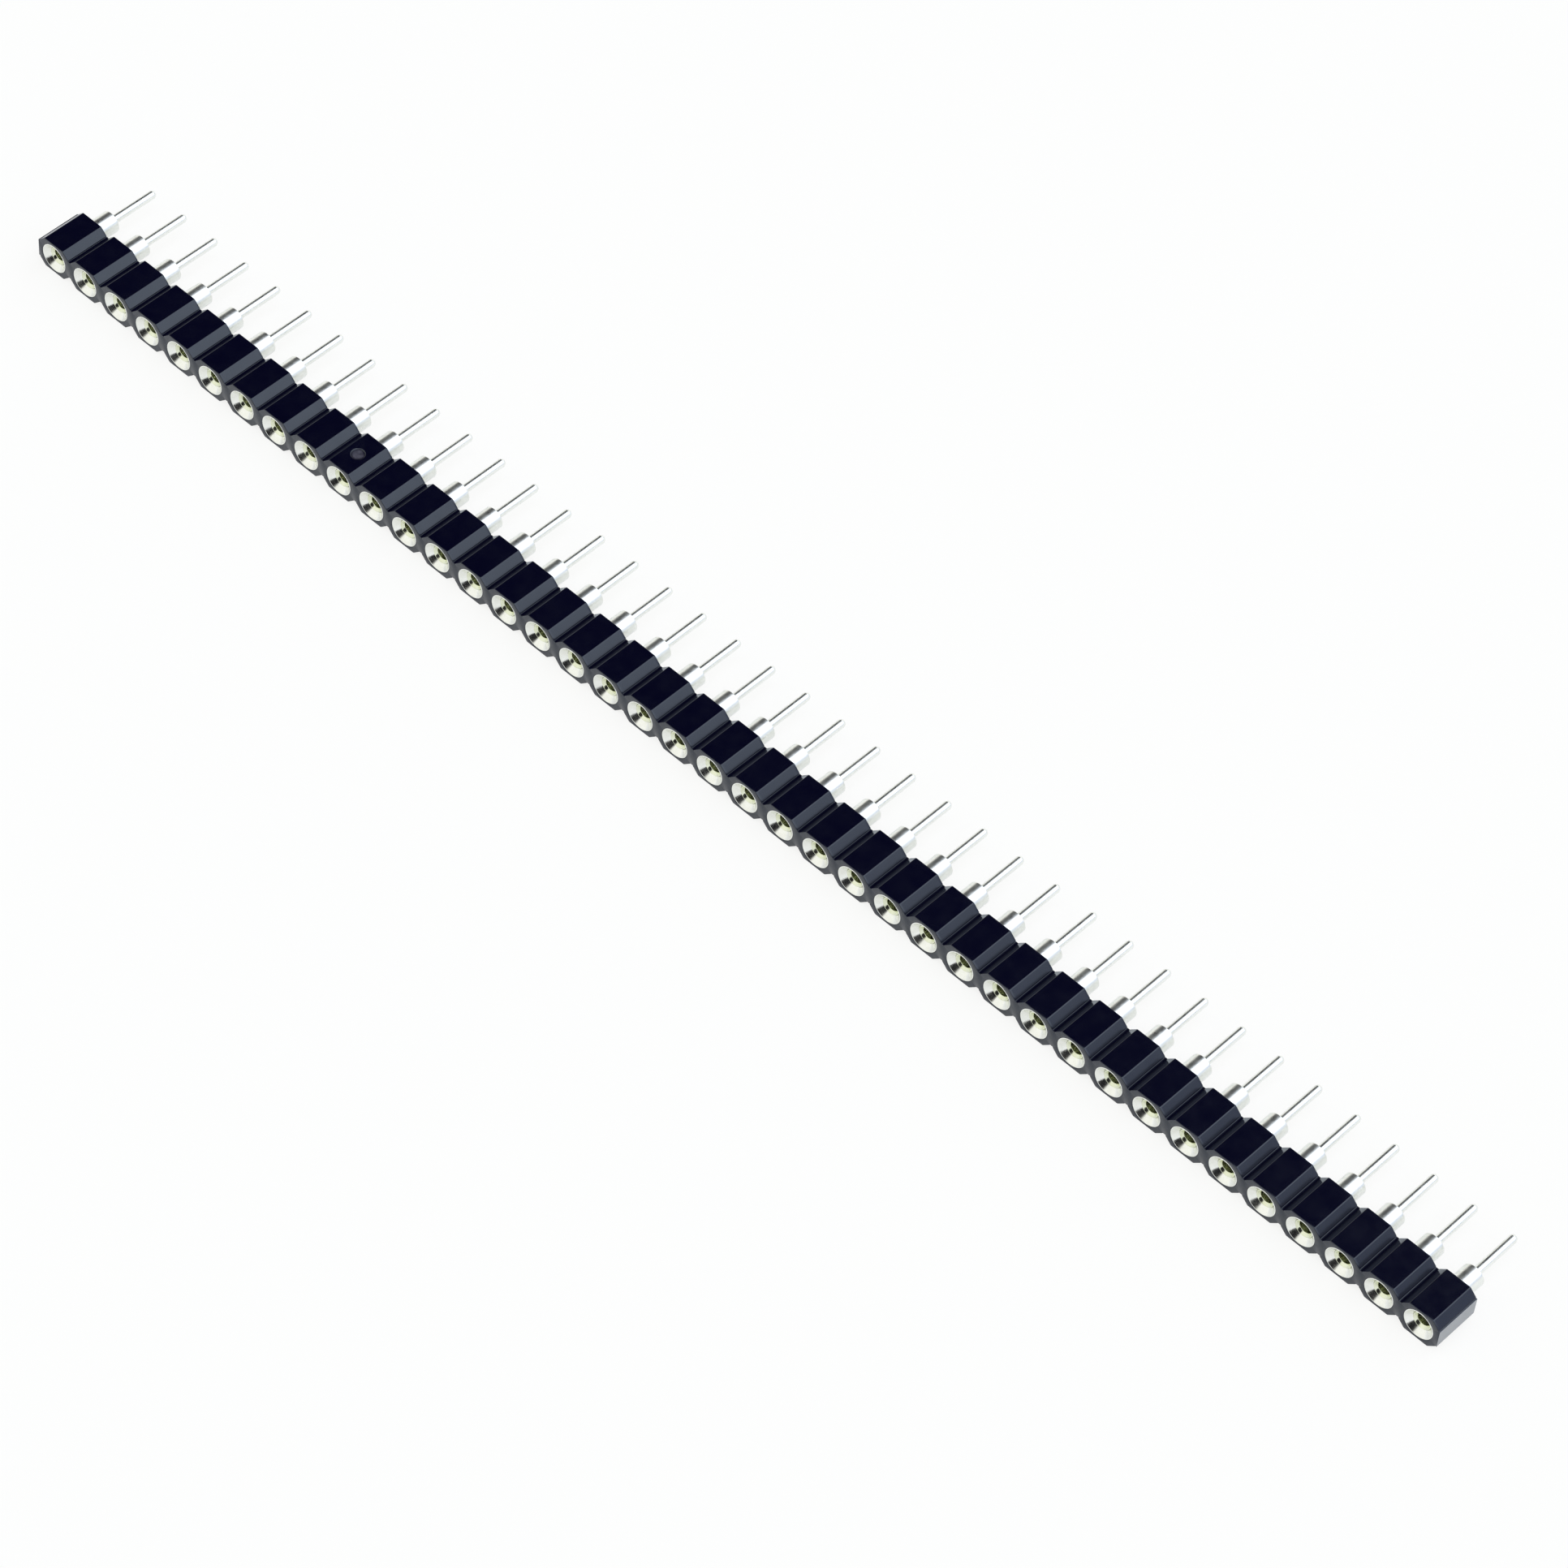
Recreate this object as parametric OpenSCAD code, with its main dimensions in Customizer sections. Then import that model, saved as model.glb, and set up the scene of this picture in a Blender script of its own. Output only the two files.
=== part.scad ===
// Single-row socket strip with turned sleeves, lying on its side.
// X runs along the row, the sockets open towards -Y, the tails point to +Y and +Z is up.
// The origin is the centre of the footprint, on the surface that the strip lies on.

/* [Strip] */
// Number of sockets in the row
socket_count = 40; // [4:1:40]
// Distance from one socket to the next
pitch = 2.54; // [2.3:0.01:3.2]

/* [Insulator] */
// Depth of the insulator, from the socket face to the tail face
body_depth = 2.9; // [2.2:0.05:3.6]
// Height of the insulator as it lies, across the row
body_height = 2.15; // [2.1:0.05:3]
// Width of the notch between two cells
notch_width = 0.2; // [0.1:0.01:0.3]
// Chamfer along the four long edges of a cell
cell_chamfer = 0.42; // [0.1:0.02:0.46]
// Height of the neck that joins two cells
neck_height = 1.2; // [0.8:0.05:1.5]

/* [Moulding mark] */
// Cell that carries the round mark on its upper flat, counted from -X
mark_cell = 10; // [1:1:40]
// Diameter of the mark
mark_d = 0.8; // [0.3:0.05:1]
// Depth of the mark
mark_depth = 0.05; // [0.02:0.01:0.08]

/* [Sleeve] */
// Diameter of the round head that shows in the socket face
head_d = 1.84; // [1.5:0.02:1.9]
// Length of the head, down to its seat in the insulator
head_length = 1.6; // [1:0.05:2]
// Width of the flat rim round the funnel
rim_width = 0.05; // [0.02:0.01:0.08]
// Depth of the funnel that guides a pin in
funnel_depth = 0.44; // [0.3:0.02:0.6]
// Diameter of the barrel behind the head
barrel_d = 1.32; // [1.28:0.02:1.6]
// Length of barrel that stands out of the insulator
shoulder_length = 1.4; // [0.8:0.1:2.2]
// Chamfer at the end of the shoulder
shoulder_chamfer = 0.05; // [0.02:0.01:0.15]
// Diameter of the bore that holds the clip
bore_d = 0.86; // [0.7:0.02:0.96]
// Solid metal between the end of the bore and the end of the shoulder
bore_floor = 0.6; // [0.3:0.05:1]

/* [Tail] */
// Diameter of the solder tail
tail_d = 0.5; // [0.4:0.02:0.64]
// Length of the solder tail beyond the shoulder
tail_length = 3.2; // [2:0.1:5]
// Length of the tapered tip
tip_length = 0.15; // [0.1:0.05:0.6]
// Diameter of the flat end of the tip
tip_d = 0.36; // [0.1:0.02:0.36]

/* [Clip] */
// Thickness of the clip's sheet metal
clip_wall = 0.06; // [0.04:0.01:0.08]
// Width of the flared lip that lies in the funnel, measured from the collar
lip_width = 0.14; // [0.06:0.02:0.18]
// Length of the closed collar
collar_length = 0.3; // [0.2:0.05:0.5]
// Number of contact fingers
finger_count = 4; // [3:1:6]
// Length of a finger's slope, from the collar to the contact land
finger_length = 1.1; // [0.8:0.05:1.3]
// Gap between two fingers
finger_gap = 0.1; // [0.06:0.01:0.14]
// Diameter left free between the fingers where they grip a pin
contact_d = 0.38; // [0.3:0.02:0.5]
// Length of the straight contact land
contact_length = 0.2; // [0.1:0.05:0.3]
// Length of the flare at the fingers' tips
flare_length = 0.2; // [0.1:0.05:0.3]
// Diameter left free at the end of the flare
flare_d = 0.5; // [0.4:0.02:0.56]

/* [Fits] */
// Radial clearance of a sleeve in the insulator
sleeve_clearance = 0.01; // [0.005:0.005:0.03]
// Clearance of a clip in its sleeve
clip_clearance = 0.01; // [0.005:0.005:0.02]

/* [Hidden] */
$fn = 64;
// How far a cutting tool runs past the face that it starts from
over = 0.5;
clips_per_node = 4;
row_length = socket_count * pitch;
cell_width = pitch - notch_width;
axis_height = body_height / 2;
shoulder_end = body_depth + shoulder_length;
total_depth = shoulder_end + tail_length;
bore_end = shoulder_end - bore_floor;
mouth_r = head_d / 2 - rim_width;
funnel_angle = atan((mouth_r - bore_d / 2) / funnel_depth);
collar_r = bore_d / 2 - clip_clearance;
collar_end = funnel_depth + collar_length;
clip_node_count = ceil(socket_count / clips_per_node);

function two_digits(i) = i < 10 ? str("0", i) : str(i);
function sleeve_name(i) = str("sleeve_", two_digits(i));
function clips_name(i) = str("clips_", two_digits(i));
function socket_x(i) = (i - (socket_count + 1) / 2) * pitch;
// Depth at which a cone that lies a given distance inside the funnel's wall has radius r
function cone_depth(r, inset) = (mouth_r - inset / cos(funnel_angle) - r) / tan(funnel_angle);

// Stands a shape that is drawn along +Z on a socket's axis, with Z = 0 on the socket face.
module at_socket(i)
    translate([socket_x(i), -total_depth / 2, axis_height])
        rotate([-90, 0, 0])
            children();

// The outline of one cell: a block with four chamfered corners.
module cell_outline() {
    side = cell_width / 2;
    top = body_height / 2;
    polygon([
        [-side, cell_chamfer - top],
        [cell_chamfer - side, -top],
        [side - cell_chamfer, -top],
        [side, cell_chamfer - top],
        [side, top - cell_chamfer],
        [side - cell_chamfer, top],
        [cell_chamfer - side, top],
        [-side, top - cell_chamfer]
    ]);
}

// The outline of the whole bar: a chain of cells joined by necks, with half a neck at each end.
module bar_outline() {
    for (i = [1:socket_count])
        translate([socket_x(i), 0]) cell_outline();
    square([row_length, neck_height], center = true);
}

// The stepped hole that a sleeve is pressed into.
module sleeve_hole() {
    translate([0, 0, -over])
        cylinder(d = head_d + 2 * sleeve_clearance, h = head_length + over);
    cylinder(d = barrel_d + 2 * sleeve_clearance, h = body_depth + over);
}

module insulator()
    color("#15161c")
        difference() {
            translate([0, -total_depth / 2, axis_height])
                rotate([-90, 0, 0])
                    linear_extrude(body_depth) bar_outline();
            for (i = [1:socket_count]) at_socket(i) sleeve_hole();
            translate([socket_x(mark_cell), (body_depth - total_depth) / 2, body_height - mark_depth])
                cylinder(d = mark_d, h = mark_depth + over);
        }

// A turned sleeve: rim, funnel and bore inside; head, barrel, shoulder and tail outside.
module sleeve_profile()
    polygon([
        [0, bore_end],
        [bore_d / 2, bore_end],
        [bore_d / 2, funnel_depth],
        [mouth_r, 0],
        [head_d / 2, 0],
        [head_d / 2, head_length],
        [barrel_d / 2, head_length],
        [barrel_d / 2, shoulder_end - shoulder_chamfer],
        [barrel_d / 2 - shoulder_chamfer, shoulder_end],
        [tail_d / 2, shoulder_end],
        [tail_d / 2, total_depth - tip_length],
        [tip_d / 2, total_depth],
        [0, total_depth]
    ]);

module sleeve()
    color("#d6d5c8")
        rotate_extrude() sleeve_profile();

// The clip's section: a lip flared to lie in the funnel, a collar, and a finger that slopes in,
// runs straight along the contact land and flares out.
module clip_profile() {
    lip_r = collar_r + lip_width;
    lip_depth = cone_depth(lip_r, clip_clearance);
    land_start = collar_end + finger_length;
    land_end = land_start + contact_length;
    finger_end = land_end + flare_length;
    polygon([
        [lip_r, lip_depth],
        [collar_r, cone_depth(collar_r, clip_clearance)],
        [collar_r, collar_end],
        [contact_d / 2 + clip_wall, land_start],
        [contact_d / 2 + clip_wall, land_end],
        [flare_d / 2 + clip_wall, finger_end],
        [flare_d / 2, finger_end],
        [contact_d / 2, land_end],
        [contact_d / 2, land_start],
        [collar_r - clip_wall, collar_end],
        [collar_r - clip_wall, cone_depth(collar_r - clip_wall, clip_clearance + clip_wall)],
        [lip_r - clip_wall * cos(funnel_angle), lip_depth - clip_wall * sin(funnel_angle)]
    ]);
}

module clip()
    color("#d0cfc0")
        difference() {
            rotate_extrude() clip_profile();
            for (k = [1:finger_count])
                rotate(k * 360 / finger_count)
                    translate([0, -finger_gap / 2, collar_end])
                        cube([bore_d / 2, finger_gap, bore_end - collar_end]);
        }

module clip_group(group)
    for (i = [1:clips_per_node]) {
        place = (group - 1) * clips_per_node + i;
        if (place <= socket_count) at_socket(place) clip();
    }

insulator();
for (i = [1:socket_count])
    at_socket(i) sleeve();
for (i = [1:clip_node_count])
    clip_group(i);
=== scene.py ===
"""A single-row strip of turned-pin sockets, lying on its side on a white table."""

from functools import partial
from math import atan2, cos, pi, radians, sin, tan

import bpy
from mathutils import Matrix, Vector


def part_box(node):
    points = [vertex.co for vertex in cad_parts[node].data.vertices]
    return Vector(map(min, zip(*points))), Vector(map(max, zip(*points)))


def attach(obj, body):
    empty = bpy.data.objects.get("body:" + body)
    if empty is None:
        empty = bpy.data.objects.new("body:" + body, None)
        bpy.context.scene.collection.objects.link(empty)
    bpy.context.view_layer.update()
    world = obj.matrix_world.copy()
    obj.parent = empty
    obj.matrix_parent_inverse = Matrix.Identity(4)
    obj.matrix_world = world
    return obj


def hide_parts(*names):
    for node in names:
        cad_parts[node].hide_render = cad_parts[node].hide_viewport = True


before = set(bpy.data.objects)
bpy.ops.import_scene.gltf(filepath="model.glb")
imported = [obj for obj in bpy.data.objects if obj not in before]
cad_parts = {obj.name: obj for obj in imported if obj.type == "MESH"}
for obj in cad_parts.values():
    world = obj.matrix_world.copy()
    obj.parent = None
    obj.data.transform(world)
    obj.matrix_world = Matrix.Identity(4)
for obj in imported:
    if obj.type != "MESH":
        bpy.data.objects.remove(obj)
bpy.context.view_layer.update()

MM = 0.001
# Lengths and angles that differ by less than this count as equal.
SAME = 1e-9
# Points of the insulator that round to the same ten-millionth of a metre are one.
WELD_GRID = 1e7


# ---------------------------------------------------------------- sizes

# Read from the frame: the insulator's box, and one box per sleeve.
BODY_LOW, BODY_HIGH = (Vector(corner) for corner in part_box("insulator"))
SLEEVE_NODES = sorted(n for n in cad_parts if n.startswith("sleeve_"))
CLIP_NODES = sorted(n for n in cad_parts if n.startswith("clips_"))
CLIPS_PER_NODE = len(SLEEVE_NODES) // len(CLIP_NODES)
FACE_Y = BODY_LOW.y
AXIS_Z = (BODY_LOW.z + BODY_HIGH.z) / 2
HALF_ROW = BODY_HIGH.x
BODY_DEPTH = BODY_HIGH.y - BODY_LOW.y
HALF_HEIGHT = (BODY_HIGH.z - BODY_LOW.z) / 2


def socket_x(node):
    """The place of a sleeve's axis along the row."""
    low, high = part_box(node)
    return (low[0] + high[0]) / 2


SOCKETS = [socket_x(node) for node in SLEEVE_NODES]
PITCH = (SOCKETS[-1] - SOCKETS[0]) / (len(SOCKETS) - 1)

# The insulator's cells.
NOTCH_WIDTH = 0.2 * MM
CELL_WIDTH = PITCH - NOTCH_WIDTH
CELL_CHAMFER = 0.42 * MM
CHAMFER_TOP_R = 0.1 * MM
CHAMFER_SIDE_R = 0.04 * MM
HALF_NECK = 0.6 * MM
EDGE_R = 0.03 * MM
# How far an extra loop lies from an edge, so that the shading stays even beyond it.
END_LOOP = 0.15 * MM
MARK_CELL = 10
MARK_R = 0.4 * MM
MARK_DEPTH = 0.05 * MM

# The turned sleeve, in radii and in distances from the socket face.
HEAD_R = 0.92 * MM
HEAD_LENGTH = 1.6 * MM
MOUTH_R = 0.87 * MM
FUNNEL_DEPTH = 0.44 * MM
BORE_R = 0.43 * MM
FUNNEL_ANGLE = atan2(MOUTH_R - BORE_R, FUNNEL_DEPTH)
BARREL_R = 0.66 * MM
SHOULDER_END = 4.3 * MM
BORE_END = 3.7 * MM
TAIL_R = 0.25 * MM
TIP_LENGTH = 0.15 * MM
TIP_R = 0.18 * MM
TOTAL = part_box(SLEEVE_NODES[0])[1][1] - FACE_Y
# Fillets on the sleeve's edges, from the finest to the softest.
FINE_R = 0.02 * MM
SEAT_R = 0.03 * MM
TIP_EDGE_R = 0.04 * MM
SHOULDER_R = 0.05 * MM
TAPER_R = 0.1 * MM

# The hole that a sleeve sits in.
SLEEVE_CLEARANCE = 0.01 * MM
HOLE_R = HEAD_R + SLEEVE_CLEARANCE
SEAT_HOLE_R = BARREL_R + SLEEVE_CLEARANCE

# The spring clip.
CLIP_WALL = 0.06 * MM
CLIP_CLEARANCE = 0.01 * MM
LIP_WIDTH = 0.14 * MM
COLLAR_LENGTH = 0.3 * MM
FINGERS = 4
FINGER_LENGTH = 1.1 * MM
FINGER_GAP = 0.1 * MM
CONTACT_R = 0.19 * MM
CONTACT_LENGTH = 0.2 * MM
FLARE_LENGTH = 0.2 * MM
FLARE_R = 0.25 * MM
LIP_BEND_R = 0.08 * MM
LIP_EDGE_R = 0.02 * MM

# How finely round shapes are divided, in sides to a full turn.
SLEEVE_SIDES = 64
COLLAR_SIDES = 48
MARK_SIDES = 24
# Sides across one finger, the angle of one side of a hole, and the steps in a fillet.
FINGER_SIDES = 12
HOLE_STEP = radians(8)
FILLET_STEPS = 5
COARSE_FILLET_STEPS = 3
EDGE_STEPS = 3
# Edges that turn by more than this are rounded on the insulator, and sharp on a clip.
ROUNDED_FROM = radians(40)
SHARP_FROM = radians(35)


# ---------------------------------------------------------------- meshes

def rounded(corners, steps=FILLET_STEPS):
    """A path through corners of (radius, place, fillet), with an arc of that fillet at each."""
    path = []
    for i, (x, y, fillet) in enumerate(corners):
        here = Vector((x, y))
        if fillet == 0 or i in (0, len(corners) - 1):
            path.append(here)
            continue
        back = (Vector(corners[i - 1][:2]) - here).normalized()
        ahead = (Vector(corners[i + 1][:2]) - here).normalized()
        half = back.angle(ahead) / 2
        reach = fillet / tan(half)
        centre = here + (back + ahead).normalized() * fillet / sin(half)
        start, end = here + back * reach - centre, here + ahead * reach - centre
        first = atan2(start.y, start.x)
        sweep = (atan2(end.y, end.x) - first + pi) % (2 * pi) - pi
        for k in range(steps + 1):
            a = first + sweep * k / steps
            path.append(centre + fillet * Vector((cos(a), sin(a))))
    return path


def new_piece(name, verts, faces, material, replaced):
    """A smooth-shaded mesh that rides on the strip and stands for CAD nodes."""
    mesh = bpy.data.meshes.new(name)
    mesh.from_pydata(verts, [], faces)
    mesh.validate()
    mesh.materials.append(material)
    mesh.polygons.foreach_set("use_smooth", [True] * len(mesh.polygons))
    piece = bpy.data.objects.new(name, mesh)
    bpy.context.scene.collection.objects.link(piece)
    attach(piece, "root")
    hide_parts(*replaced)
    return piece


def even_normals(piece):
    """Keeps flat faces flat where they run into small rounded edges."""
    weighted = piece.modifiers.new("even normals", "WEIGHTED_NORMAL")
    weighted.keep_sharp = True


def turned(path, x, segments):
    """A path turned round the axis of the socket at x, closed at both ends on the axis."""
    verts, faces = [], []
    inner = [p for p in path if p.x > SAME]
    for p in inner:
        for k in range(segments):
            a = 2 * pi * k / segments
            verts.append((x + p.x * sin(a), FACE_Y + p.y, AXIS_Z + p.x * cos(a)))
    for here in range(0, (len(inner) - 1) * segments, segments):
        ahead = here + segments
        for k in range(segments):
            m = (k + 1) % segments
            faces.append((here + k, here + m, ahead + m, ahead + k))
    for end, row in ((path[0], 0), (path[-1], len(inner) - 1)):
        tip = len(verts)
        verts.append((x, FACE_Y + end.y, AXIS_Z))
        for k in range(segments):
            m = (k + 1) % segments
            ring = (row * segments + k, row * segments + m)
            faces.append((tip, ring[1], ring[0]) if row == 0 else (tip, ring[0], ring[1]))
    return verts, faces


def swept(loop, x, start, end, segments):
    """A closed section swept round the axis between two angles. It has flat ends unless it closes."""
    full = abs(end - start) > 2 * pi - SAME
    count = segments if full else segments + 1
    verts, faces = [], []
    for k in range(count):
        a = start + (end - start) * k / segments
        for p in loop:
            verts.append((x + p.x * sin(a), FACE_Y + p.y, AXIS_Z + p.x * cos(a)))
    n = len(loop)
    for k in range(segments):
        m = (k + 1) % count
        for i in range(n):
            j = (i + 1) % n
            faces.append((k * n + i, k * n + j, m * n + j, m * n + i))
    if not full:
        faces.append(tuple(range(n - 1, -1, -1)))
        faces.append(tuple(segments * n + i for i in range(n)))
    return verts, faces


# ---------------------------------------------------------------- the pieces

def sleeve_path():
    """Half the section of a sleeve, from the bottom of the bore round the outside to the tail's tip."""
    return rounded([
        (0, BORE_END, 0),
        (BORE_R, BORE_END, SHOULDER_R),
        (BORE_R, FUNNEL_DEPTH, FINE_R),
        (MOUTH_R, 0, FINE_R),
        (HEAD_R, 0, FINE_R),
        (HEAD_R, HEAD_LENGTH, SEAT_R),
        (BARREL_R, HEAD_LENGTH, FINE_R),
        (BARREL_R, BODY_DEPTH, 0),
        (BARREL_R, SHOULDER_END - END_LOOP, 0),
        (BARREL_R, SHOULDER_END, SHOULDER_R),
        (TAIL_R, SHOULDER_END, SEAT_R),
        (TAIL_R, SHOULDER_END + END_LOOP, 0),
        (TAIL_R, TOTAL - TIP_LENGTH - END_LOOP, 0),
        (TAIL_R, TOTAL - TIP_LENGTH, TAPER_R),
        (TIP_R, TOTAL, TIP_EDGE_R),
        (0, TOTAL, 0),
    ])


def make_sleeves(material):
    """The turned sleeves, each with its head, shoulder and tail."""
    path = sleeve_path()
    for node, x in zip(SLEEVE_NODES, SOCKETS):
        verts, faces = turned(path, x, SLEEVE_SIDES)
        even_normals(new_piece("turned_" + node, verts, faces, material, [node]))


def cone_depth(radius, inset):
    """Depth at which a cone that lies that far inside the funnel's wall has that radius."""
    return (MOUTH_R - inset / cos(FUNNEL_ANGLE) - radius) / tan(FUNNEL_ANGLE)


def clip_sections():
    """The sections of the collar with its flared lip, and of a finger."""
    outer = BORE_R - CLIP_CLEARANCE
    inner = outer - CLIP_WALL
    lip_r = outer + LIP_WIDTH
    lip_depth = cone_depth(lip_r, CLIP_CLEARANCE)
    collar_end = FUNNEL_DEPTH + COLLAR_LENGTH
    land_start = collar_end + FINGER_LENGTH
    land_end = land_start + CONTACT_LENGTH
    finger_end = land_end + FLARE_LENGTH
    collar = rounded([
        (inner, collar_end, 0),
        (inner, cone_depth(inner, CLIP_CLEARANCE + CLIP_WALL), LIP_BEND_R),
        (lip_r - CLIP_WALL * cos(FUNNEL_ANGLE), lip_depth - CLIP_WALL * sin(FUNNEL_ANGLE), LIP_EDGE_R),
        (lip_r, lip_depth, 0),
        (outer, cone_depth(outer, CLIP_CLEARANCE), 0),
        (outer, collar_end, 0),
    ], COARSE_FILLET_STEPS)
    finger = [Vector(p) for p in (
        (inner, collar_end), (outer, collar_end),
        (CONTACT_R + CLIP_WALL, land_start), (CONTACT_R + CLIP_WALL, land_end),
        (FLARE_R + CLIP_WALL, finger_end), (FLARE_R, finger_end),
        (CONTACT_R, land_end), (CONTACT_R, land_start))]
    return collar, finger


def make_clips(material):
    """The spring clips: a closed collar and separate fingers in each socket."""
    collar, finger = clip_sections()
    half_gap = FINGER_GAP / 2 / (CONTACT_R + CLIP_WALL)
    turn = 2 * pi / FINGERS
    for group, node in enumerate(CLIP_NODES):
        verts, faces = [], []
        for x in SOCKETS[group * CLIPS_PER_NODE:(group + 1) * CLIPS_PER_NODE]:
            parts = [swept(collar, x, 0, 2 * pi, COLLAR_SIDES)]
            for k in range(FINGERS):
                first, last = turn * k + half_gap, turn * (k + 1) - half_gap
                parts.append(swept(finger, x, first, last, FINGER_SIDES))
            for part_verts, part_faces in parts:
                base = len(verts)
                verts += part_verts
                faces += [tuple(base + i for i in face) for face in part_faces]
        piece = new_piece("stamped_" + node, verts, faces, material, [node])
        piece.data.set_sharp_from_angle(angle=SHARP_FROM)


def cell_outline(x):
    """The upper side of a cell's outline in X and Z about the pin axis, from left to right."""
    side, shoulder = CELL_WIDTH / 2, HALF_HEIGHT - CELL_CHAMFER
    flat = side - CELL_CHAMFER
    path = rounded([
        (-side, HALF_NECK, 0),
        (-side, shoulder, CHAMFER_SIDE_R),
        (-flat, HALF_HEIGHT, CHAMFER_TOP_R),
        (flat, HALF_HEIGHT, CHAMFER_TOP_R),
        (side, shoulder, CHAMFER_SIDE_R),
        (side, HALF_NECK, 0),
    ], COARSE_FILLET_STEPS)
    return [(x + p.x, p.y) for p in path]


def marked_flat(vert, x, left, right, start, end):
    """A stretch of the upper flat of the marked cell, with the round recess of the mark in it."""
    top, floor = HALF_HEIGHT, HALF_HEIGHT - MARK_DEPTH
    middle = (start + end) / 2
    steps = MARK_SIDES
    corners = [vert(cx, cy, top) for cx, cy in ((right, start), (right, end), (left, end), (left, start))]
    angles = [2 * pi * k / steps - pi / 4 for k in range(steps)]
    circle = [(x + MARK_R * cos(a), middle + MARK_R * sin(a)) for a in angles]
    rim = [vert(px, py, top) for px, py in circle]
    foot = [vert(px, py, floor) for px, py in circle]
    quarter = steps // 4
    faces = [tuple(foot)]
    for side in range(4):
        arc = [rim[(side * quarter + k) % steps] for k in range(quarter + 1)]
        faces.append((corners[side], corners[(side + 1) % 4], *reversed(arc)))
    for k in range(steps):
        m = (k + 1) % steps
        faces.append((rim[k], rim[m], foot[m], foot[k]))
    return faces


def wall(vert, a, b, middle=None):
    """Faces from the socket face to the tail face along one side of the outline, short at both ends."""
    stations = (0.0, END_LOOP, BODY_DEPTH - END_LOOP, BODY_DEPTH)
    faces = []
    for start, end in zip(stations, stations[1:]):
        special = middle(start, end) if middle and start == END_LOOP else None
        faces += special or [(vert(a[0], start, a[1]), vert(a[0], end, a[1]),
                              vert(b[0], end, b[1]), vert(b[0], start, b[1]))]
    return faces


def hole_angles(x, a, b):
    """Angles round the hole at x from one point of the outline to the next."""
    first = atan2(a[1], a[0] - x)
    turn = (atan2(b[1], b[0] - x) - first + pi) % (2 * pi) - pi
    count = max(1, round(abs(turn) / HOLE_STEP))
    return [first + turn * k / count for k in range(count + 1)]


def cell_ring(x):
    """The sides of a cell's outline with half a neck on either hand, once round from the upper left."""
    left, right = x - PITCH / 2, x + PITCH / 2
    upper = cell_outline(x)
    lower = [(px, -pz) for px, pz in reversed(upper)]
    ring = ([(left, HALF_NECK)] + upper + [(right, HALF_NECK), (right, 0.0), (right, -HALF_NECK)]
            + lower + [(left, -HALF_NECK), (left, 0.0)])
    return list(zip(ring, ring[1:] + ring[:1]))


def end_faces(vert, x, ring, arcs):
    """The faces between a cell's outline and its hole, on the socket face and on the tail face."""
    faces = []
    for y, radius, front in ((0.0, HOLE_R, True), (BODY_DEPTH, SEAT_HOLE_R, False)):
        for side, arc in zip(ring, arcs):
            outer = [vert(px, y, pz) for px, pz in side]
            inner = [vert(x + radius * cos(a), y, radius * sin(a)) for a in reversed(arc)]
            faces.append(tuple(outer + inner if front else (outer + inner)[::-1]))
    return faces


def cell_walls(vert, index, x, ring):
    """The walls of a cell, with none where it joins its neighbours."""
    joined = []
    if index > 0:
        joined.append(x - PITCH / 2)
    if index < len(SOCKETS) - 1:
        joined.append(x + PITCH / 2)
    faces = []
    for a, b in ring:
        if any(max(abs(a[0] - edge), abs(b[0] - edge)) < SAME for edge in joined):
            continue
        marked = index == MARK_CELL - 1 and min(a[1], b[1]) > HALF_HEIGHT - SAME
        faces += wall(vert, a, b, partial(marked_flat, vert, x, a[0], b[0]) if marked else None)
    return faces


def hole_faces(vert, x, arcs):
    """The stepped hole through a cell, from the socket face to the tail face."""
    faces = []
    bore = ((0.0, HOLE_R), (HEAD_LENGTH, HOLE_R), (HEAD_LENGTH, SEAT_HOLE_R), (BODY_DEPTH, SEAT_HOLE_R))
    for near, far in zip(bore, bore[1:]):
        for a, b in (pair for arc in arcs for pair in zip(arc, arc[1:])):
            quad = ((near, a), (near, b), (far, b), (far, a))
            faces.append(tuple(vert(x + r * cos(turn), y, r * sin(turn)) for (y, r), turn in quad))
    return faces


def make_insulator(material):
    """The moulded bar: a chain of cells with a stepped hole in each, welded where they meet."""
    verts, faces, lookup = [], [], {}

    def vert(x, y, z):
        key = tuple(round(c * WELD_GRID) for c in (x, y, z))
        if key not in lookup:
            lookup[key] = len(verts)
            verts.append((x, FACE_Y + y, AXIS_Z + z))
        return lookup[key]

    for index, x in enumerate(SOCKETS):
        ring = cell_ring(x)
        arcs = [hole_angles(x, a, b) for a, b in ring]
        faces += end_faces(vert, x, ring, arcs)
        faces += cell_walls(vert, index, x, ring)
        faces += hole_faces(vert, x, arcs)
    piece = new_piece("moulded_insulator", verts, faces, material, ["insulator"])
    bevel = piece.modifiers.new("rounded edges", "BEVEL")
    bevel.width = EDGE_R
    bevel.segments = EDGE_STEPS
    bevel.limit_method = "ANGLE"
    bevel.angle_limit = ROUNDED_FROM
    even_normals(piece)


# ---------------------------------------------------------------- materials

# The plastic: its black, the mark's dull patch, the pale grey of the snapped necks at the row's ends
# (partly their rough break, partly painted light for the key light falling on the right-hand end), and
# how it reflects.
MOULDED_BLACK = (0.0005, 0.0005, 0.009)
DULL_BLACK = (0.055, 0.048, 0.07)
BREAK_AND_PAINTED_LIGHT_GREY = (0.36, 0.36, 0.35)
PLASTIC_IOR = 1.65
PLASTIC_REFLECTION = (0.85, 0.94, 1.0)
PLASTIC_ROUGHNESS = 0.16, 0.22
# Roughness added where the plastic is dull, and on the snapped faces at the row's ends.
MATT = 0.5
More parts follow.
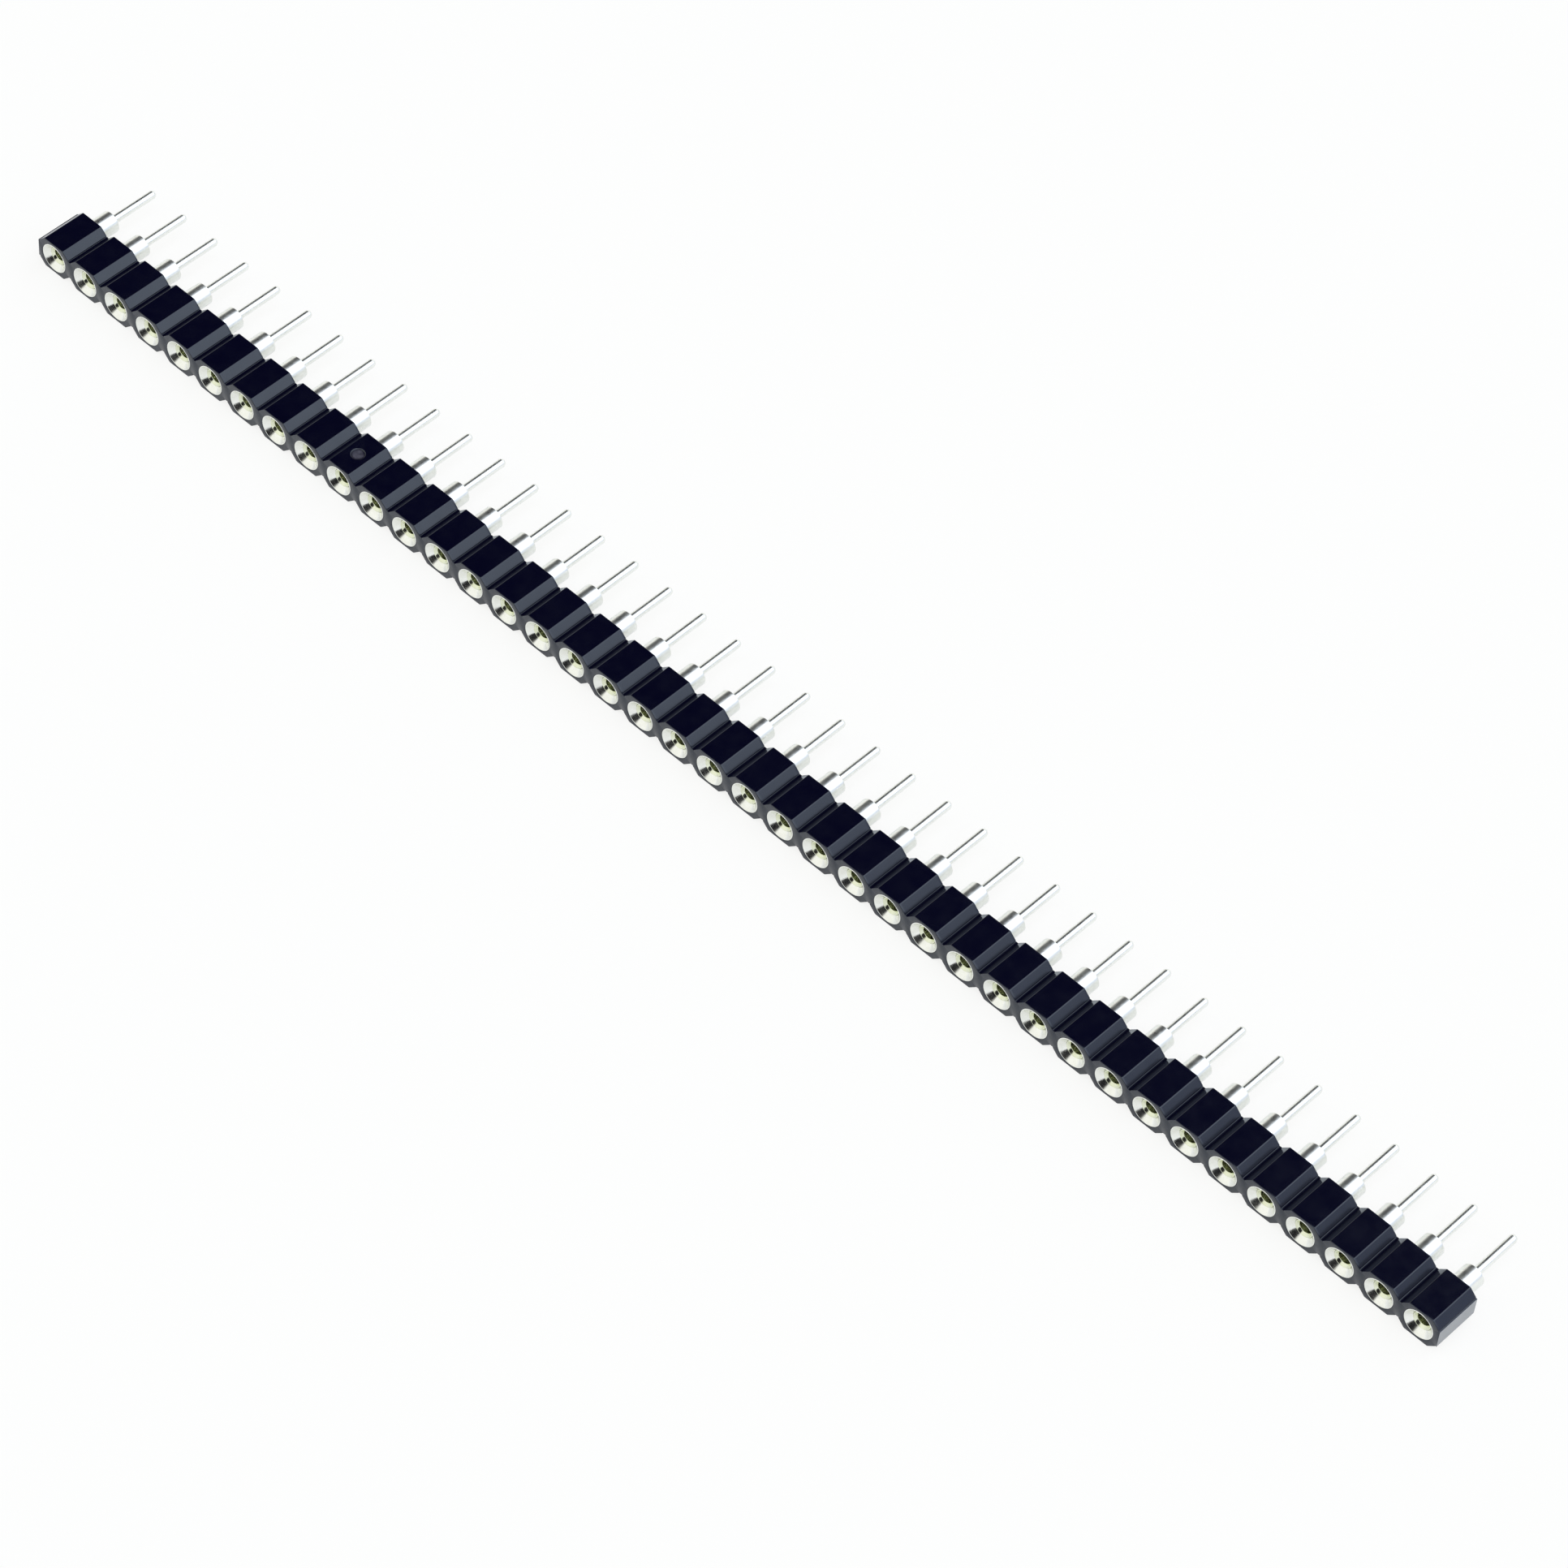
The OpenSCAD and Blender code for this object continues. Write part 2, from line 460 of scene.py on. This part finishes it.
# What lies this close to the row's ends is the snapped face of a neck, painted pale grey partly for the
# rough break and partly as painted light.
END_SKIN = 0.01 * MM
# The dull patch is full out to this share of the mark's radius, and its blotches thin it to this share.
MARK_FADE = 0.6
MARK_THINNEST = 0.3
# The tin: two colours that it clouds between, and the roughness in the mouth and behind it.
SLEEVE_TIN = (0.93, 0.94, 0.885), (0.88, 0.89, 0.825), 0.17, 0.3
CLIP_TIN = (0.85, 0.88, 0.70), (0.76, 0.79, 0.59), 0.15, 0.25
# Roughness added in the darkest and the palest clouds.
TIN_UNEVENNESS = 0.05, -0.03
# The sizes of what shows on the surfaces.
MOULD_CLOUD = 0.9 * MM
MOULD_GRAIN = 0.05 * MM
MARK_BLOTCH = 0.3 * MM
TIN_CLOUD = 0.35 * MM
TOOL_MARK = 0.03 * MM
# The relief of the grain and of the tool marks: its height and its strength.
GRAIN_RELIEF = 0.002 * MM, 0.15
TOOL_MARK_RELIEF = 0.001 * MM, 0.1
TOOL_MARK_DISTORTION = 2.0
# Noise lies almost wholly between these two values, and has this much fine detail.
NOISE_LOW, NOISE_HIGH = 0.3, 0.7
NOISE_DETAIL = 3
# The length at which the wave texture repeats at a scale of 1.
WAVE_LENGTH = 0.314


def new_material(name):
    """A new material with its nodes, its links and its shader."""
    made = bpy.data.materials.new(name)
    made.use_nodes = True
    return made, made.node_tree.nodes, made.node_tree.links, made.node_tree.nodes["Principled BSDF"]


def noise_node(nodes, links, size):
    """A noise texture with features of that size, in metres, fixed to the strip."""
    place = nodes.new("ShaderNodeTexCoord")
    texture = nodes.new("ShaderNodeTexNoise")
    texture.inputs["Scale"].default_value = 1 / size
    texture.inputs["Detail"].default_value = NOISE_DETAIL
    links.new(place.outputs["Object"], texture.inputs["Vector"])
    return texture


def ranged(nodes, links, source, low, high):
    """Stretches a noise texture's values to low..high."""
    mapped = nodes.new("ShaderNodeMapRange")
    mapped.inputs["From Min"].default_value = NOISE_LOW
    mapped.inputs["From Max"].default_value = NOISE_HIGH
    mapped.inputs["To Min"].default_value = low
    mapped.inputs["To Max"].default_value = high
    links.new(source, mapped.inputs["Value"])
    return mapped.outputs["Result"]


def math_node(nodes, links, operation, first, second):
    """The result of a calculation on two values; each is a socket or a number."""
    node = nodes.new("ShaderNodeMath")
    node.operation = operation
    for value, entry in ((first, node.inputs[0]), (second, node.inputs[1])):
        if isinstance(value, (int, float)):
            entry.default_value = value
        else:
            links.new(value, entry)
    return node.outputs["Value"]


def mixed(nodes, links, factor, first, second):
    """A colour mix; first and second are colours or sockets."""
    mix = nodes.new("ShaderNodeMix")
    mix.data_type = "RGBA"
    links.new(factor, mix.inputs["Factor"])
    for name, value in (("A", first), ("B", second)):
        if isinstance(value, tuple):
            mix.inputs[name].default_value = (*value, 1)
        else:
            links.new(value, mix.inputs[name])
    return mix.outputs["Result"]


def near_mark(nodes, links, place):
    """A mask over the floor of the moulding mark: 1 in its middle, fading out towards its edge."""
    middle = (SOCKETS[MARK_CELL - 1], FACE_Y + BODY_DEPTH / 2, AXIS_Z + HALF_HEIGHT - MARK_DEPTH)
    away = nodes.new("ShaderNodeVectorMath")
    away.operation = "DISTANCE"
    away.inputs[1].default_value = middle
    links.new(place.outputs["Object"], away.inputs[0])
    fade = nodes.new("ShaderNodeMapRange")
    fade.inputs["From Min"].default_value = MARK_R
    fade.inputs["From Max"].default_value = MARK_FADE * MARK_R
    links.new(away.outputs["Value"], fade.inputs["Value"])
    return fade.outputs["Result"]


def add_bump(nodes, links, shader, source, height, strength):
    """Gives the surface a relief of that height from a texture's value."""
    bump = nodes.new("ShaderNodeBump")
    bump.inputs["Strength"].default_value = strength
    bump.inputs["Distance"].default_value = height
    links.new(source, bump.inputs["Height"])
    links.new(bump.outputs["Normal"], shader.inputs["Normal"])


def black_plastic():
    """Glossy black moulding, with a dull patch in the mark and rough snapped faces at the row's ends,
    painted pale grey partly as their own colour and partly as painted light.
    """
    made, nodes, links, shader = new_material("black thermoplastic")
    shader.inputs["IOR"].default_value = PLASTIC_IOR
    shader.inputs["Specular Tint"].default_value = (*PLASTIC_REFLECTION, 1)
    cloud = noise_node(nodes, links, MOULD_CLOUD)
    grain = noise_node(nodes, links, MOULD_GRAIN)
    place = nodes.new("ShaderNodeTexCoord")
    split = nodes.new("ShaderNodeSeparateXYZ")
    links.new(place.outputs["Object"], split.inputs["Vector"])
    far = math_node(nodes, links, "ABSOLUTE", split.outputs["X"], 0)
    at_row_ends = math_node(nodes, links, "GREATER_THAN", far, HALF_ROW - END_SKIN)
    blotch = ranged(nodes, links, noise_node(nodes, links, MARK_BLOTCH).outputs["Fac"], MARK_THINNEST, 1)
    dull = math_node(nodes, links, "MULTIPLY", near_mark(nodes, links, place), blotch)
    colour = mixed(nodes, links, dull, MOULDED_BLACK, DULL_BLACK)
    # The row's end faces are painted pale grey: partly their rough break, partly painted light for the
    # key light falling on the right-hand end.
    links.new(mixed(nodes, links, at_row_ends, colour, BREAK_AND_PAINTED_LIGHT_GREY), shader.inputs["Base Color"])
    gloss = ranged(nodes, links, cloud.outputs["Fac"], *PLASTIC_ROUGHNESS)
    matt = math_node(nodes, links, "MULTIPLY", math_node(nodes, links, "MAXIMUM", at_row_ends, dull), MATT)
    links.new(math_node(nodes, links, "ADD", gloss, matt), shader.inputs["Roughness"])
    add_bump(nodes, links, shader, grain.outputs["Fac"], *GRAIN_RELIEF)
    return made


def plated(name, colour, dark, mouth_roughness, roughness):
    """Turned or stamped metal with thin plating: faint clouding, fine tool marks and a smoother mouth."""
    made, nodes, links, shader = new_material(name)
    shader.inputs["Metallic"].default_value = 1.0
    cloud = noise_node(nodes, links, TIN_CLOUD)
    tint = mixed(nodes, links, ranged(nodes, links, cloud.outputs["Fac"], 0, 1), dark, colour)
    links.new(tint, shader.inputs["Base Color"])
    place = nodes.new("ShaderNodeTexCoord")
    split = nodes.new("ShaderNodeSeparateXYZ")
    links.new(place.outputs["Object"], split.inputs["Vector"])
    inside = nodes.new("ShaderNodeMapRange")
    inside.inputs["From Min"].default_value = FACE_Y + FUNNEL_DEPTH
    inside.inputs["From Max"].default_value = FACE_Y + 2 * FUNNEL_DEPTH
    inside.inputs["To Min"].default_value = mouth_roughness
    inside.inputs["To Max"].default_value = roughness
    links.new(split.outputs["Y"], inside.inputs["Value"])
    uneven = ranged(nodes, links, cloud.outputs["Fac"], *TIN_UNEVENNESS)
    rough = math_node(nodes, links, "ADD", inside.outputs["Result"], uneven)
    links.new(rough, shader.inputs["Roughness"])
    marks = nodes.new("ShaderNodeTexWave")
    marks.bands_direction = "Y"
    marks.inputs["Scale"].default_value = WAVE_LENGTH / TOOL_MARK
    marks.inputs["Distortion"].default_value = TOOL_MARK_DISTORTION
    links.new(place.outputs["Object"], marks.inputs["Vector"])
    add_bump(nodes, links, shader, marks.outputs["Fac"], *TOOL_MARK_RELIEF)
    return made


# ---------------------------------------------------------------- table, light and camera

# Half the table's side, in metres, and its own white.
HALF_TABLE = 3.0
TABLE_WHITE = (0.9, 0.9, 0.9)
TABLE_ROUGHNESS = 0.9
# The plain background colour, and the table's share of it to the camera and in reflections. The rest of
# the table is lit, and takes the shadow.
BACKGROUND = (1.0, 1.0, 0.985)
SEEN_GLOW = 0.85
REFLECTED_GLOW = 0.45
# The sky's colours: the room, the key light with its dimmer lower edge, and the gaps between lights.
ROOM = (1.0, 1.0, 0.97)
KEY = (1.55, 1.65, 1.85)
KEY_LOW = (0.6, 0.66, 0.84)
UNLIT = (0.012, 0.012, 0.014)
# Where they lie: the middle of each, and the shares along it where it starts and is full.
KEY_LIGHT = (0.35, 0.45, 0.82), 0.56, 0.67
KEY_UPPER = (0.0, 0.0, 1.0), 0.3, 0.5
GAP_BEHIND = (-0.54, 0.48, 0.69), 0.85, 0.93
GAP_IN_FRONT = (0.43, -0.855, 0.28), 0.84, 0.94


def make_table():
    """A white table that reads as plain white to the camera, and still takes the shadow."""
    far = HALF_TABLE
    mesh = bpy.data.meshes.new("table")
    mesh.from_pydata([(-far, -far, 0), (far, -far, 0), (far, far, 0), (-far, far, 0)], [], [(0, 1, 2, 3)])
    table = bpy.data.objects.new("table", mesh)
    bpy.context.scene.collection.objects.link(table)
    made, nodes, links, shader = new_material("white table")
    shader.inputs["Base Color"].default_value = (*TABLE_WHITE, 1)
    shader.inputs["Roughness"].default_value = TABLE_ROUGHNESS
    glow = nodes.new("ShaderNodeEmission")
    glow.inputs["Color"].default_value = (*BACKGROUND, 1)
    path = nodes.new("ShaderNodeLightPath")
    seen = math_node(nodes, links, "MULTIPLY", path.outputs["Is Camera Ray"], SEEN_GLOW)
    bounced = math_node(nodes, links, "MAXIMUM",
                        path.outputs["Is Glossy Ray"], path.outputs["Is Transmission Ray"])
    reflected = math_node(nodes, links, "MULTIPLY", bounced, REFLECTED_GLOW)
    mix = nodes.new("ShaderNodeMixShader")
    links.new(math_node(nodes, links, "MAXIMUM", seen, reflected), mix.inputs["Fac"])
    links.new(shader.outputs["BSDF"], mix.inputs[1])
    links.new(glow.outputs["Emission"], mix.inputs[2])
    links.new(mix.outputs["Shader"], nodes["Material Output"].inputs["Surface"])
    mesh.materials.append(made)


def soft_step(nodes, links, direction, axis, low, high):
    """A mask over the sky: 0 where a direction's share along the axis is under low, 1 where over high."""
    dot = nodes.new("ShaderNodeVectorMath")
    dot.operation = "DOT_PRODUCT"
    dot.inputs[1].default_value = Vector(axis).normalized()
    links.new(direction, dot.inputs[0])
    mask = nodes.new("ShaderNodeMapRange")
    mask.interpolation_type = "SMOOTHSTEP"
    mask.inputs["From Min"].default_value = low
    mask.inputs["From Max"].default_value = high
    links.new(dot.outputs["Value"], mask.inputs["Value"])
    return mask.outputs["Result"]


def light_scene():
    """A pale room, lit brightest above and to the right, with a dark gap behind and one in front."""
    world = bpy.data.worlds.new("studio")
    world.use_nodes = True
    nodes, links = world.node_tree.nodes, world.node_tree.links
    shade = nodes["Background"]
    sky = nodes.new("ShaderNodeTexCoord").outputs["Generated"]
    path = nodes.new("ShaderNodeLightPath")
    above = soft_step(nodes, links, sky, *KEY_LIGHT)
    high = soft_step(nodes, links, sky, *KEY_UPPER)
    gap = soft_step(nodes, links, sky, *GAP_BEHIND)
    front = soft_step(nodes, links, sky, *GAP_IN_FRONT)
    key = mixed(nodes, links, high, KEY_LOW, KEY)
    colour = mixed(nodes, links, above, ROOM, key)
    colour = mixed(nodes, links, gap, colour, UNLIT)
    colour = mixed(nodes, links, front, colour, UNLIT)
    colour = mixed(nodes, links, path.outputs["Is Camera Ray"], colour, BACKGROUND)
    links.new(colour, shade.inputs["Color"])
    bpy.context.scene.world = world


# Angles in degrees, the azimuth from straight in front of the sockets.
CAMERA_AZIMUTH = 39.47
CAMERA_ELEVATION = 50.41
CAMERA_ROLL = 5.45
CAMERA_DISTANCE = 309.8 * MM
CAMERA_LENS = 135.99
CAMERA_CLIP_START = 10 * MM
# How far the middle of the picture lies to the right of and above the middle of the insulator.
AIM_RIGHT = 3.81 * MM
AIM_UP = -2.18 * MM


def make_camera():
    """Looks at the strip from the front and above, turned round its view by the roll."""
    azimuth, elevation, roll = radians(CAMERA_AZIMUTH), radians(CAMERA_ELEVATION), radians(CAMERA_ROLL)
    back = Vector((cos(elevation) * sin(azimuth), -cos(elevation) * cos(azimuth), sin(elevation)))
    level = Vector((cos(azimuth), sin(azimuth), 0))
    upright = back.cross(level)
    right = cos(roll) * level + sin(roll) * upright
    up = cos(roll) * upright - sin(roll) * level
    aim = Vector((0, FACE_Y + BODY_DEPTH / 2, AXIS_Z)) + right * AIM_RIGHT + up * AIM_UP
    turn = Matrix((right, up, back)).transposed().to_4x4()
    data = bpy.data.cameras.new("camera")
    data.lens = CAMERA_LENS
    data.clip_start = CAMERA_CLIP_START
    camera = bpy.data.objects.new("camera", data)
    camera.matrix_world = Matrix.Translation(aim + back * CAMERA_DISTANCE) @ turn
    bpy.context.scene.collection.objects.link(camera)
    bpy.context.scene.camera = camera


make_camera()
make_table()
light_scene()
make_insulator(black_plastic())
make_sleeves(plated("tin plating on the sleeves", *SLEEVE_TIN))
make_clips(plated("tin plating on the clips", *CLIP_TIN))
bpy.context.scene.view_settings.view_transform = "Standard"
